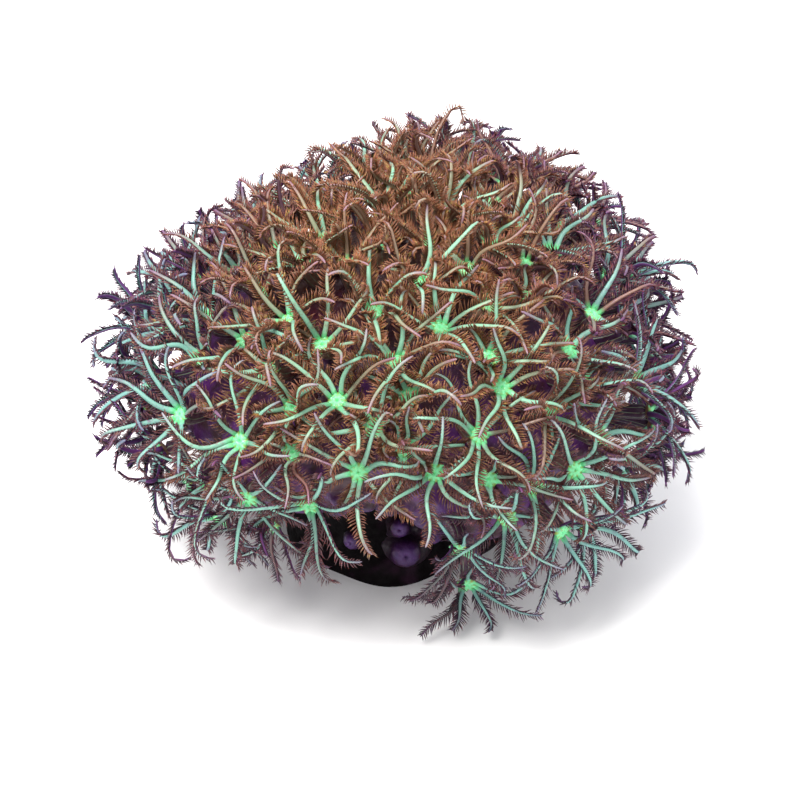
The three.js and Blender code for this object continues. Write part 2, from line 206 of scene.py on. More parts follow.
def mat_point(direction, offset=0.0):
    """The mat's surface in a direction, moved out along it by the offset."""
    return MIDDLE + direction * (mat_radius(direction) + offset)[..., None]


def off_mat(points):
    """How far points stand above the mat, measured away from the lump's middle."""
    from_middle = points - MIDDLE
    distance = np.linalg.norm(from_middle, axis=-1)
    return distance - mat_radius(from_middle / distance[..., None])


def mat_normal(direction):
    """The outward normal, from how far points 0.2 mm to either side stand above the surface."""
    point = mat_point(direction)
    steps = 0.2 * np.eye(3)
    return unit(np.array([off_mat(point + step) - off_mat(point - step) for step in steps]))


def hem_polar(azimuth):
    """The mat's wavy lower edge, as an angle down from the top."""
    return np.radians(112 + 4 * np.sin(5 * azimuth + 2.6) - 5 * np.cos(2 * azimuth))


def is_bare(azimuth, polar):
    """Whether degrees round the lump and down from its top lie below the start of a bare patch, and
    nearer its middle than its half width."""
    return any(
        polar > start and abs((azimuth - middle + 540) % 360 - 180) < half_width
        for middle, half_width, start in BARE_PATCHES
    )


# The places of the polyps, by the same rules as in the solids

BACK = np.array([0, -math.cos(EYE_ELEVATION), math.sin(EYE_ELEVATION)])
UP = np.array([0, math.sin(EYE_ELEVATION), math.cos(EYE_ELEVATION)])
RIGHT = np.array([1.0, 0, 0])
EYE = AIM + BACK * EYE_DISTANCE


def disc_where_seen(seen, stalk):
    """The first point of a sight line that is a stalk's length above the mat, or else its nearest."""
    middle = PICTURE_WIDTH / 2
    sight = RIGHT * (seen[0] - middle) + UP * (middle - seen[1]) - BACK * EYE_DISTANCE * UNITS_PER_MM
    runs = np.arange(EYE_DISTANCE - SEARCH_DEPTH, EYE_DISTANCE + SEARCH_DEPTH, SEARCH_STEP)
    points = EYE + runs[:, None] * unit(sight)
    above = off_mat(points) - stalk
    reached = np.flatnonzero(above <= 0)
    return points[reached[0] if len(reached) else np.argmin(above)]


class Polyp:
    """Where one polyp stands, which way its disc faces, and the straight rods its arms follow."""

    def __init__(self, stream, direction, seen_disc=None):
        """The disc faces three parts along the mat's normal and one part outwards, a little at random,
        and is turned up by a share of its height over or under the lump's middle."""
        stalk = stream.between(STALK_LENGTH)
        self.direction = direction
        self.foot = mat_point(direction)
        facing = 0.75 * mat_normal(direction) + 0.25 * direction
        facing += [spread * (stream.next() - 0.5) for spread in (0.5, 0.5, 0.3)]
        facing[2] += CROWN_UPTURN * direction[2] if direction[2] > 0 else -LOW_UPTURN * direction[2]
        self.facing = unit(facing)
        lean = unit(self.facing + direction)
        self.disc = self.foot + lean * stalk if seen_disc is None else seen_disc
        self.stem = unit(self.disc - self.foot)
        across = np.array([-self.facing[1], self.facing[0], 0])
        if np.linalg.norm(across) < 0.1:
            across = RIGHT
        self.across = unit(across)
        self.along = np.cross(self.facing, self.across)
        self.twist = stream.next() * math.pi / 4
        self.rods = [(self.foot - self.stem, self.disc, STALK_RADIUS, DISC_RADIUS)]


def root_direction(disc):
    """Straight behind the disc, but never below the hem."""
    behind = unit(disc - MIDDLE)
    azimuth = math.atan2(behind[1], behind[0])
    return towards(azimuth, min(math.acos(behind[2]), hem_polar(azimuth) - HEM_MARGIN))


def place_polyps(stream):
    """First the discs that are seen, then more wherever there is still room for one."""
    polyps = []
    for seen in DISCS_SEEN:
        disc = disc_where_seen(seen, sum(STALK_LENGTH) / 2)
        polyps.append(Polyp(stream, root_direction(disc), disc))
    lowest_cosine = math.cos(math.radians(LOWEST_POLAR))
    for _ in range(DARTS):
        polar = math.acos(1 - (1 - lowest_cosine) * stream.next())
        azimuth = 2 * math.pi * stream.next()
        direction = towards(azimuth, polar)
        outer = mat_point(direction, STALK_LENGTH[0])
        discs = np.array([polyp.disc for polyp in polyps])
        crowded = np.linalg.norm(discs - outer, axis=1).min() < POLYP_SPACING
        degrees_round = math.degrees(math.atan2(direction[1], direction[0]))
        bare = is_bare(degrees_round, math.degrees(math.acos(direction[2])))
        if polar <= hem_polar(azimuth) - HEM_MARGIN and not bare and not crowded:
            polyps.append(Polyp(stream, direction))
    return polyps


def gaps_between(starts, ends, others):
    """The clear gap of each trial rod from each other rod, at the points where their axes come closest."""
    other_starts, other_ends, other_bases, other_tips = others
    u = (ends - starts)[:, None]
    v = (other_ends - other_starts)[None]
    w = starts[:, None] - other_starts[None]
    uu, vv, uv, uw, vw = (np.sum(a * b, axis=-1) for a, b in ((u, u), (v, v), (u, v), (u, w), (v, w)))
    crossing = uu * vv - uv * uv
    skew = crossing > 1e-9
    s = np.where(skew, np.clip((uv * vw - vv * uw) / np.where(skew, crossing, 1), 0, 1), 0)
    t = np.clip((uv * s + vw) / vv, 0, 1)
    s = np.clip((uv * t - uw) / uu, 0, 1)
    t = np.clip((uv * s + vw) / vv, 0, 1)
    apart = np.linalg.norm(w + u * s[..., None] - v * t[..., None], axis=-1)
    own = TENTACLE_HALF_WIDTH + (TIP_HALF_WIDTH - TENTACLE_HALF_WIDTH) * s
    return apart - own - (other_bases + (other_tips - other_bases) * t)


def stand_off(points):
    """How far points stand off the lump, its flared foot and the floor."""
    foot_radius = BASE_RADIUS + 1.5 - FOOT_SLOPE * points[:, 2]
    off_foot = np.hypot(points[:, 0], points[:, 1]) - foot_radius
    off_lump = np.where(points[:, 2] < FOOT_HEIGHT, off_foot, off_mat(points))
    return np.minimum(points[:, 2] - FLOOR_CLEARANCE, off_lump)


# What an arm tries in turn to keep clear: turns in radians, rises in degrees, shares of its length
TURNS_TO_TRY = np.array([0, 0.15, -0.15])
RISES_TO_TRY = np.array([0, 17, -15, 34, 50])
LENGTHS_TO_TRY = (1, 0.85, 0.7, 0.56, 0.43, 0.32)


def grow_tentacles(polyps, stream):
    """Each arm takes the first rise, at the greatest length, that keeps clear of all its neighbours."""
    reach = 2 * TENTACLE_LENGTH[1] + 4
    hollow = disc_where_seen(HOLLOW_SEEN, 0)
    view_end = hollow + reach * unit(EYE - hollow)
    hollow_view = (hollow, view_end, HOLLOW_VIEW_RADIUS, HOLLOW_VIEW_RADIUS)
    discs = np.array([polyp.disc for polyp in polyps])
    for index, polyp in enumerate(polyps):
        near = np.linalg.norm(discs - polyp.disc, axis=1) < reach
        near[index] = False
        rods = [rod for i in np.flatnonzero(near) for rod in polyps[i].rods] + [hollow_view]
        others = [np.array(column) for column in zip(*rods)]
        for k in range(TENTACLES):
            angle = polyp.twist + (k + ANGLE_SPREAD * (stream.next() - 0.5)) * (2 * math.pi / TENTACLES)
            wanted = stream.between(TENTACLE_RISE) + CROWN_RISE * max(0, polyp.direction[2])
            length = stream.between(TENTACLE_LENGTH)
            best_gap = -math.inf
            for share in LENGTHS_TO_TRY:
                tried_rises = wanted + np.repeat(RISES_TO_TRY, len(TURNS_TO_TRY))
                rises = np.radians(np.minimum(MOST_RISE, tried_rises))[:, None]
                angles = (angle + np.tile(TURNS_TO_TRY, len(RISES_TO_TRY)))[:, None]
                radial = polyp.across * np.cos(angles) + polyp.along * np.sin(angles)
                way = radial * np.cos(rises) + polyp.facing * np.sin(rises)
                starts = polyp.disc + radial * DISC_RADIUS * 0.6
                ends = polyp.disc + radial * DISC_RADIUS + way * (length * share)
                gaps = np.minimum(stand_off(ends), gaps_between(starts, ends, others).min(axis=1))
                free = np.flatnonzero(gaps > LEAST_GAP)
                pick = free[0] if len(free) else np.argmax(gaps)
                if gaps[pick] > best_gap:
                    best_gap = gaps[pick]
                    best = (starts[pick], ends[pick], TENTACLE_HALF_WIDTH, TIP_HALF_WIDTH)
                if len(free):
                    break
            polyp.rods.append(best)


growth = Stream(20417)
POLYPS = place_polyps(growth)
grow_tentacles(POLYPS, growth)


# Meshes from arrays

VALUES = ("along", "out", "oral", "ray", "mint", "amber", "violet", "shade")


def closed_tube_triangles(tubes, rings, around):
    """Triangles of tubes whose points run first pole, rings, last pole, with the rings turning
    anticlockwise as seen against the way they run, so that every face points outwards."""
    ring, side = np.meshgrid(np.arange(rings - 1), np.arange(around), indexing="ij")
    near = 1 + ring * around + side
    near_next = 1 + ring * around + (side + 1) % around
    walls = [
        np.stack([near, near_next, near_next + around], axis=-1).reshape(-1, 3),
        np.stack([near, near_next + around, near + around], axis=-1).reshape(-1, 3),
    ]
    side = np.arange(around)
    after = (side + 1) % around
    last = 1 + rings * around
    first_fan = np.stack([0 * side, 1 + after, 1 + side], axis=-1)
    last_fan = np.stack([0 * side + last, last - around + side, last - around + after], axis=-1)
    one = np.concatenate([*walls, first_fan, last_fan])
    shifts = (last + 1) * np.arange(tubes)
    return (one[None] + shifts[:, None, None]).reshape(-1, 3)


def put(name, data):
    """A new object in the scene."""
    item = bpy.data.objects.new(name, data)
    bpy.context.scene.collection.objects.link(item)
    return item


class Patchwork:
    """The points, triangles, finishes and per-point values of one piece, gathered patch by patch."""

    def __init__(self):
        self.points = []
        self.triangles = []
        self.finishes = []
        self.values = {name: [] for name in VALUES}
        self.count = 0

    def add_tubes(self, rings, first_poles, last_poles, finish, **values):
        """Closed tubes from rings (tubes, rings, around, 3), with values given as anything that
        spreads over (tubes, rings, around)."""
        tubes, length, around = rings.shape[:3]
        body = rings.reshape(tubes, -1, 3)
        points = np.concatenate([first_poles[:, None], body, last_poles[:, None]], axis=1)
        self.points.append(points.reshape(-1, 3))
        triangles = closed_tube_triangles(tubes, length, around)
        self.triangles.append(triangles + self.count)
        self.finishes.append(np.full(len(triangles), finish, dtype=np.int32))
        for name in VALUES:
            spread = np.broadcast_to(values.get(name, 0.0), (tubes, length, around))
            ends = [spread[:, :1, 0], spread.reshape(tubes, -1), spread[:, -1:, 0]]
            self.values[name].append(np.concatenate(ends, axis=1).ravel())
        self.count += points.shape[0] * points.shape[1]

    def hold_inside(self, box):
        """Points nearer a face of the box than the margin are squeezed towards it: a distance d inside
        the face becomes margin · exp((d − margin) / margin), which never reaches the face."""
        low, high = (np.array(corner) / MM for corner in box)
        for points in self.points:
            for face, inwards in ((low, 1), (high, -1)):
                inside = (points - face) * inwards
                squeezed = SQUEEZE_MARGIN * np.exp(inside / SQUEEZE_MARGIN - 1)
                points[:] = face + inwards * np.where(inside < SQUEEZE_MARGIN, squeezed, inside)

    def build(self, name, materials):
        """The piece as a smooth-shaded mesh object in metres, at the origin."""
        points = np.concatenate(self.points) * MM
        triangles = np.concatenate(self.triangles)
        mesh = bpy.data.meshes.new(name)
        mesh.vertices.add(len(points))
        mesh.vertices.foreach_set("co", points.ravel())
        mesh.loops.add(triangles.size)
        mesh.loops.foreach_set("vertex_index", triangles.ravel().astype(np.int32))
        mesh.polygons.add(len(triangles))
        mesh.polygons.foreach_set("loop_start", np.arange(0, triangles.size, 3, dtype=np.int32))
        mesh.polygons.foreach_set("material_index", np.concatenate(self.finishes))
        for value, parts in self.values.items():
            attribute = mesh.attributes.new(value, "FLOAT", "POINT")
            attribute.data.foreach_set("value", np.concatenate(parts).astype(np.float32))
        for material in materials:
            mesh.materials.append(material)
        mesh.update(calc_edges=True)
        mesh.validate()
        mesh.shade_smooth()
        piece = put(name, mesh)
        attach(piece, "root")
        return piece


def between_points(values, places):
    """Values given at even steps from 0 to 1, read at other places by straight interpolation."""
    steps = values.shape[1] - 1
    at = np.clip(places * steps, 0, steps - 1e-9)
    low = at.astype(int)
    part = (at - low).reshape(1, -1, *[1] * (values.ndim - 2))
    return values[:, low] * (1 - part) + values[:, low + 1] * part


def lattice_noise(points, cell, seed):
    """Smooth noise from −1 to 1: a hashed number at each corner of a cubic lattice, blended between
    the corners by 3t² − 2t³ along each axis."""
    scaled = points / cell
    corner = np.floor(scaled).astype(np.int64)
    t = scaled - corner
    t = t * t * (3 - 2 * t)
    total = 0.0
    for step in np.ndindex(2, 2, 2):
        i, j, k = (corner + step).T.astype(np.uint64)
        mixed = (i * 73856093 ^ j * 19349663 ^ k * 83492791 ^ np.uint64(seed * 2654435)) & 0xFFFFFFFF
        mixed = (mixed ^ (mixed >> 13)) * 1274126177 & 0xFFFFFFFF
        mixed = (mixed ^ (mixed >> 16)) * 2246822519 & 0xFFFFFFFF
        share = np.prod(np.where(step, t, 1 - t), axis=1)
        total = total + share * (mixed / 2147483648 - 1)
    return total


def layered_noise(points, cell, layers, seed):
    """Noise of one cell size plus half as much at half the size, and so on."""
    return sum(lattice_noise(points, cell / 2**n, seed + n) / 2**n for n in range(layers))


# The habits of the arms, in radians: how each one arches, and how far its tip hooks down, up or over.
# Its sway is a share of its length.

DICE = np.random.default_rng(7)
ARM_COUNT = len(POLYPS) * TENTACLES
ARCH = DICE.uniform(0.05, 0.55, ARM_COUNT)
HOOK_KIND = DICE.random(ARM_COUNT)
HOOK_SIZE = DICE.uniform(0.5, 1, ARM_COUNT)
DOWN_SHARE, UP_SHARE, CURLED_SHARE = np.cumsum([0.3, 0.15, 0.12])
DOWN_HOOK, UP_HOOK, CURL = (-1.7, 1.9, -3.9)
HOOK = np.select(
    [HOOK_KIND < DOWN_SHARE, HOOK_KIND < UP_SHARE, HOOK_KIND < CURLED_SHARE],
    [DOWN_HOOK * HOOK_SIZE, UP_HOOK * HOOK_SIZE, CURL * HOOK_SIZE],
    DICE.uniform(-0.4, 0.4, ARM_COUNT),
)
SWAY = DICE.normal(0, 1, (ARM_COUNT, 2)) * (0.065, 0.04)

# Sizes of the living parts in mm. An arm's half widths are given at its base and at its tip.
FRONT_ARM = np.array([0.34, 0.13])
CROWN_ARM = np.array([0.44, 0.2])
RIM_ARM = np.array([0.52, 0.24])
ARM_FLATNESS = 0.85
ARM_ROOT_REACH = 1.15
ARM_ROOT_SINK = 0.26
DISC_SIZE = 1.22
NECK_DEPTH = 0.75
STALK_ROOT_DEPTH = 0.7
PINNULE_LENGTH = 1.3
PINNULE_RADIUS = 0.09
PINNULE_SIDES = 3
COMB_SPAN = (0.1, 0.965)
CROWN_LIFT = 0.7
COLLAR_HEIGHT, COLLAR_RADIUS = (0.55, 1.9)
LIP_HEIGHT, LIP_RADIUS, LIP_WIDTH = (0.3, 1.45, 0.45)
MOUND_HEIGHT, MOUND_RADIUS = (1.5, 1.45)
PUCKER_DEPTH, PUCKER_RADIUS = (0.55, 0.35)

# How finely lines are drawn, and how near the solids' box points may come before they are squeezed
LINE_STEPS = 25
SQUEEZE_MARGIN = 1.5

# How the rim and the crown differ from the front: straighter arms, shorter and thicker pinnules
RIM_STRAIGHTENING = 0.75
RIM_SHORTENING = 0.1
RIM_THICKENING = 0.4
CROWN_THICKENING = 0.25

# How a polyp is coloured by where it stands, with painted shade in the hollow and low down

def hollow_shade_share(directions):
    """The share of painted shade in directions: 1 in the hollow at the front, falling to 0 outside it."""
    return np.exp(HOLLOW_SHARPNESS * (directions @ unit(np.array(HOLLOW)) - 1))


DIRECTIONS = np.array([polyp.direction for polyp in POLYPS])
AMBER_SHARE = smooth_step(-0.2, 0.9, DIRECTIONS @ unit(np.array([0, -0.2, 0.95])))
AMBER_SHARE = np.clip(AMBER_SHARE + DICE.normal(0, 0.1, len(POLYPS)), 0, 1)
SIDEWAYS = np.hypot(DIRECTIONS[:, 0], np.maximum(DIRECTIONS[:, 1], 0))
# How low a polyp stands: it turns the underside violet, partly as painted shade, and gives low pinnules
# painted shade
LOW_SHADE_SHARE = smooth_step(0.4, -0.25, DIRECTIONS[:, 2])
VIOLET_SHARE = np.maximum(0.95 * smooth_step(0.38, 0.98, SIDEWAYS), 0.85 * LOW_SHADE_SHARE)
RIM_SHARE = smooth_step(0.5, 1.0, SIDEWAYS)
ARM_RIM = np.repeat(RIM_SHARE, TENTACLES)
ARM_CROWN = np.repeat(AMBER_SHARE * (1 - RIM_SHARE), TENTACLES)
ARM_SIZES = FRONT_ARM + np.outer(ARM_RIM, RIM_ARM - FRONT_ARM) + np.outer(ARM_CROWN, CROWN_ARM - FRONT_ARM)
SEEN = np.arange(len(POLYPS)) < len(DISCS_SEEN)
VIVID = np.where(SEEN, 0.95, DICE.choice([0.85, 0.35], len(POLYPS), p=[0.4, 0.6]))
ARM_TIPS = np.array([rod[1] for polyp in POLYPS for rod in polyp.rods[1:]])
# Painted shade on arms whose tips lie in the hollow, which also takes their mint away
ARM_SHADE = hollow_shade_share(unit(ARM_TIPS - MIDDLE))
MINT_SHARE = np.repeat(VIVID * (1 - 0.3 * AMBER_SHARE), TENTACLES) + DICE.normal(0, 0.2, ARM_COUNT)
MINT_SHARE = np.clip(MINT_SHARE, 0, 1) * (1 - ARM_SHADE)


def arm_lines(starts, tips, facings, arches, hooks, sways):
    """Middle lines of arms, with their frames. In the plane of its chord and its disc's facing, a line's
    heading falls evenly from +arch to −arch, and the hook is added over its last third. The line is then
    turned and scaled to end at the tip, and sways sideways by a half wave and a whole wave."""
    s = np.linspace(0, 1, LINE_STEPS)
    heading = arches[:, None] * (1 - 2 * s) + hooks[:, None] * smooth_step(0.66, 1, s)
    middle = (heading[:, 1:] + heading[:, :-1]) / 2
    start = np.zeros((len(middle), 1))
    forward = np.concatenate([start, np.cumsum(np.cos(middle), axis=1)], axis=1)
    upward = np.concatenate([start, np.cumsum(np.sin(middle), axis=1)], axis=1)
    end_forward = forward[:, -1:]
    end_upward = upward[:, -1:]
    span = end_forward**2 + end_upward**2
    x = (forward * end_forward + upward * end_upward) / span
    y = (upward * end_forward - forward * end_upward) / span
    z = sways[:, :1] * np.sin(math.pi * s) + sways[:, 1:] * np.sin(2 * math.pi * s)
    chords = (tips - starts) * (1 - 0.05 * np.abs(hooks[:, None]))
    lengths = np.linalg.norm(chords, axis=1)[:, None, None]
    ahead = unit(chords)
    above = unit(facings - dot(facings, ahead) * ahead)
    beside = np.cross(above, ahead)
    frame_axes = [axis[:, None] for axis in (ahead, above, beside)]
    offsets = sum(axis * part[..., None] for axis, part in zip(frame_axes, (x, y, z)))
    lines = starts[:, None] + lengths * offsets
    tangents = unit(np.gradient(lines, axis=1))
    across = unit(beside[:, None] - dot(beside[:, None], tangents) * tangents)
    over = np.cross(tangents, across)
    return lines, tangents, across, over


def turn_angles(around):
    """Angles once round a ring."""
    return 2 * math.pi * np.arange(around) / around


def turned(centres, first_axis, second_axis, first_radius, second_radius, angles):
    """Rings as centre + first axis · radius · cos + second axis · radius · sin. The centres, radii and
    angles spread over (tubes, rings, around), and the axes over (tubes, rings)."""
    first = first_axis[..., None, :] * (first_radius * np.cos(angles))[..., None]
    second = second_axis[..., None, :] * (second_radius * np.sin(angles))[..., None]
    return centres + first + second


ARM, COMB, DISC, STALK = range(4)


def living_values(polyps, mint, shade):
    """The values that the parts of polyps have in common, spread over (tubes, rings, around)."""
    shares = {"mint": mint, "amber": AMBER_SHARE[polyps], "violet": VIOLET_SHARE[polyps], "shade": shade}
    return {name: share[:, None, None] for name, share in shares.items()}


def gather(chosen, name):
    """One attribute of the chosen polyps, as an array."""
    return np.array([getattr(POLYPS[i], name) for i in chosen])


def arm_width(arms, s):
    """Half widths of arms at shares of their lengths, falling from base to tip as s^0.8."""
    base, tip = ARM_SIZES[arms].T[:, :, None]
    return base + (tip - base) * s**0.8


def add_arms(patchwork, chosen, arm_rings, arm_sides, pinnules, pinnule_rings):
    """The arms of the chosen polyps: round-tipped tapering tubes along their lines, with a comb of
    pinnules down each side."""
    arms = np.array([TENTACLES * i + k for i in chosen for k in range(TENTACLES)])
    discs, facings = (np.repeat(gather(chosen, name), TENTACLES, axis=0) for name in ("disc", "facing"))
    rod_starts, tips = (
        np.array([rod[end] for i in chosen for rod in POLYPS[i].rods[1:]]) for end in (0, 1)
    )
    starts = discs + (rod_starts - discs) * ARM_ROOT_REACH - ARM_ROOT_SINK * facings
    hooks = HOOK[arms] * (1 - RIM_STRAIGHTENING * ARM_RIM[arms])
    line_frames = arm_lines(starts, tips, facings, ARCH[arms], hooks, SWAY[arms])
    lines, tangents, across, over = line_frames

    by_arm = living_values(arms // TENTACLES, MINT_SHARE[arms], ARM_SHADE[arms])
    s = np.concatenate([np.linspace(0, 0.93, arm_rings - 2), [0.97, 0.995]])
    rounding = np.sqrt(1 - 0.8 * np.clip((s - 0.93) / 0.065, 0, 1) ** 2)
    width = (arm_width(arms, s) * rounding * (0.75 + 0.25 * MINT_SHARE[arms, None]))[..., None]
    centres, *axes = (between_points(values, s) for values in (lines, across, over))
    angles = turn_angles(arm_sides)
    oral = np.sin(angles)
    rings = turned(centres[:, :, None], *axes, width, ARM_FLATNESS * width, angles)
    last = lines[:, -1] + tangents[:, -1] * 0.06
    patchwork.add_tubes(rings, lines[:, 0], last, ARM, along=s[:, None], oral=oral, **by_arm)
    add_combs(patchwork, arms, line_frames, by_arm, pinnules, pinnule_rings)


def add_combs(patchwork, arms, line_frames, by_arm, pinnules, pinnule_rings):
    """Two rows of bent, pointed pinnules down each arm, longest near a third of the way out."""
    places = np.linspace(*COMB_SPAN, pinnules)
    roots, forward, sideways, above = (
        np.stack([between_points(values, places)] * 2, axis=2) for values in line_frames
    )
    sign = np.array([1.0, -1.0])[:, None]
    shape = (len(arms), pinnules, 2, 1)
    lean = DICE.uniform(0.25, 0.75, shape)
    lift = DICE.uniform(-0.25, 0.5, shape)
    lift = lift + CROWN_LIFT * AMBER_SHARE[arms // TENTACLES][:, None, None, None]
    pointing = unit(sign * sideways + lean * forward + lift * above)
    bend = 0.35 * forward + DICE.uniform(-0.1, 0.5, shape) * above
    size = smooth_step(-0.1, 0.28, places) * (1 - 0.5 * places**2)
    shortening = (1 - RIM_SHORTENING * ARM_RIM[arms])[:, None, None, None]
    length = PINNULE_LENGTH * shortening * size[:, None, None] * DICE.uniform(0.8, 1.1, shape)
    stem_width = arm_width(arms, places)[:, :, None, None]
    q = np.linspace(0, 0.6, pinnule_rings) if pinnule_rings > 1 else np.zeros(1)
    first_axis = unit(np.cross(above, pointing))
    second_axis = np.cross(pointing, first_axis)

    def point_at(share):
        """The arm's side, plus length · (pointing · share + bend · share²)."""
        from_root = length * (pointing * share + bend * share**2)
        return roots + sign * sideways * 0.7 * stem_width + from_root

    tubes = len(arms) * pinnules * 2
    centres = np.stack([point_at(share).reshape(tubes, 3) for share in q], axis=1)
    thickening = 1 + RIM_THICKENING * ARM_RIM[arms] + CROWN_THICKENING * ARM_CROWN[arms]
    radius = PINNULE_RADIUS * np.repeat(thickening, pinnules * 2)[:, None, None] * (1 - 0.3 * q[:, None])
    axes = (v.reshape(tubes, 1, 3) for v in (first_axis, second_axis))
    rings = turned(centres[:, :, None], *axes, radius, radius, turn_angles(PINNULE_SIDES))
    low = LOW_SHADE_SHARE[arms // TENTACLES]
    *per_pinnule, low = (
        np.repeat(value.ravel(), pinnules * 2)[:, None, None] for value in (*by_arm.values(), low)
    )
    per_pinnule = dict(zip(by_arm, per_pinnule))
    # Painted shade on the pinnules of low polyps, less towards their tips
    per_pinnule["shade"] = np.maximum(per_pinnule["shade"], 0.6 * low * (1 - 0.6 * q[:, None]))
    along = np.tile(np.repeat(places, 2), len(arms))[:, None, None]
    points = point_at(1).reshape(tubes, 3)
    patchwork.add_tubes(rings, centres[:, 0], points, COMB, along=along, out=q[:, None], **per_pinnule)


# The top of a disc from its mouth out to its rim, then its underside in to the neck: radius and height
# as shares of the disc's radius
DISC_PROFILE = np.array([
    (0.06, -0.2), (0.13, -0.06), (0.24, 0.07), (0.4, 0.03), (0.62, -0.03), (0.84, -0.05),
    (1.0, -0.12), (0.98, -0.28), (0.8, -0.5),
])
TOP_RINGS = 7


def add_bodies(patchwork, chosen, around, stalk_rings):
    """The chosen polyps' discs and stalks in one skin: the disc's profile turned round its facing, with
    its rim drawn out by a share of cos 8θ towards the arms, then rings down a bent stalk to the mat."""
    disc, facing, side, along, foot, stem, twist = (
        gather(chosen, name)[:, None]
        for name in ("disc", "facing", "across", "along", "foot", "stem", "twist")
    )
    twist = twist[..., None]
    angles = twist - turn_angles(around)
    ray = np.cos(TENTACLES * (angles - twist))
    radius, height = (DISC_SIZE * DISC_PROFILE.T)[:, None, :, None]
    on_top = (np.arange(len(DISC_PROFILE)) < TOP_RINGS)[None, :, None]
    reach = radius * (1 + 0.13 * ray * smooth_step(0.3, 1.3, radius))
    relief = height + on_top * 0.09 * ray * smooth_step(0.2, 1, radius)
    middles = disc[:, :, None] + facing[:, :, None] * relief[..., None]
    disc_rings = turned(middles, side, along, reach, reach, angles)

    neck = disc + facing * (DISC_RADIUS * -NECK_DEPTH)
    root = foot - stem * STALK_ROOT_DEPTH
    elbow = neck - facing * 0.3 * np.linalg.norm(neck - root, axis=-1, keepdims=True)
    u = np.linspace(0, 1, stalk_rings)[None, :, None]
    path = neck * (1 - u) ** 2 + elbow * 2 * u * (1 - u) + root * u**2
    heading = unit((elbow - neck) * (1 - u) + (root - elbow) * u)
    first = unit(side - dot(side, heading) * heading)
    second = np.cross(heading, first)
    thickness = 0.98 - 0.5 * u * (1 - u) + 0.22 * u**4
    fluting = thickness * (1 + 0.05 * np.cos(TENTACLES * angles))
    stalk = turned(path[:, :, None], first, -second, fluting, fluting, angles)

    # Discs and stalks in the hollow take painted shade
    values = living_values(chosen, VIVID[chosen], hollow_shade_share(DIRECTIONS[chosen])) | {"ray": ray}
    mouth = disc[:, 0] - facing[:, 0] * 0.35 * DISC_RADIUS
    under = 0.5 * (1 - on_top)
    patchwork.add_tubes(disc_rings, mouth, neck[:, 0], DISC, out=radius / DISC_SIZE, along=under, **values)
    patchwork.add_tubes(stalk, disc[:, 0] - facing[:, 0] * 0.4, root[:, 0], STALK, along=u, **values)


# The mat and the rock

ROCK_DEPTH = -MAT_THICKNESS - TOUCHING_GAP
WAIST_POLAR = math.radians(139)
# How far the mat's painted shade spreads round the hollow: the smaller, the wider
MAT_SHADE_SPREAD = 0.55


def level(x, y):
    """Vectors with no height."""
    return np.stack([x, y, 0 * x], axis=-1)


def rock_waist(azimuth):
    """The rock's middle height, just inside the mat's surface, with four waves round it."""
    polar = 0.45 * hem_polar(azimuth) + 0.55 * WAIST_POLAR
    return mat_point(towards(azimuth, polar), ROCK_DEPTH + 0.9 * np.sin(4 * azimuth + 2))


def rock_foot(azimuth):
    """The rock's lower edge, a circle with three and seven waves round it."""
    radius = BASE_RADIUS * (1 + 0.05 * np.sin(3 * azimuth + 0.7) + 0.03 * np.sin(7 * azimuth))
    return level(radius * np.cos(azimuth), radius * np.sin(azimuth))


# A closed polyp from the pucker at its top, over its shoulder and out to its skirt: distance from its
# middle and height, as shares of its radius
KNOB_PROFILE = np.array([
    (0.05, 0.86), (0.1, 0.9), (0.22, 0.98), (0.42, 0.98), (0.66, 0.86), (0.86, 0.62), (0.98, 0.33),
    (1.02, 0.08), (1.15, -0.15), (1.5, -0.45), (1.9, -0.9),
])


def add_closed_on_rock(patchwork, around):
    """The closed polyps on the rock: the knob's profile turned round its outward normal, with eight
    shallow lobes round its top, and painted shade that is lightest on the top and darkest at the skirt."""
    degrees, shares, radii = np.array(CLOSED_ON_ROCK).T
    azimuth = np.radians(degrees)
    waist = rock_waist(azimuth)
    down = rock_foot(azimuth) - waist
    out = unit(np.cross(down, level(-np.sin(azimuth), np.cos(azimuth))))
    base = waist + down * shares[:, None]
    side = unit(level(-out[:, 1], out[:, 0]))
    over = np.cross(out, side)
    angles = -turn_angles(around)
    reach, rise = KNOB_PROFILE.T[:, :, None]
    lobed = radii[:, None, None] * reach * (1 + 0.07 * np.cos(8 * angles) * smooth_step(0.5, 1, rise))
    outward = out * radii[:, None]
    middles = base[:, None, None] + outward[:, None, None] * rise[..., None]
    rings = turned(middles, side[:, None], over[:, None], lobed, lobed, angles)
    # Painted shade: darkest at the skirt, lightest on the top round the pucker
    shade = 1.2 - 0.45 * smooth_step(0, 0.9, rise) - 0.5 * bell((reach - 0.3) / 0.35)
    patchwork.add_tubes(rings, base + 0.8 * outward, base - outward, 0, out=1.5 * rise, shade=shade)


def closed_on_mat():
    """The middles of the closed polyps on the mat, less those where an open one stands."""
    middles = mat_point(towards(*np.radians(CLOSED_POLYPS).T))
    feet = gather(range(len(POLYPS)), "foot")
    nearest = np.linalg.norm(middles[:, None] - feet, axis=-1).min(axis=1)
    return middles[nearest > MOUND_CLEARANCE]


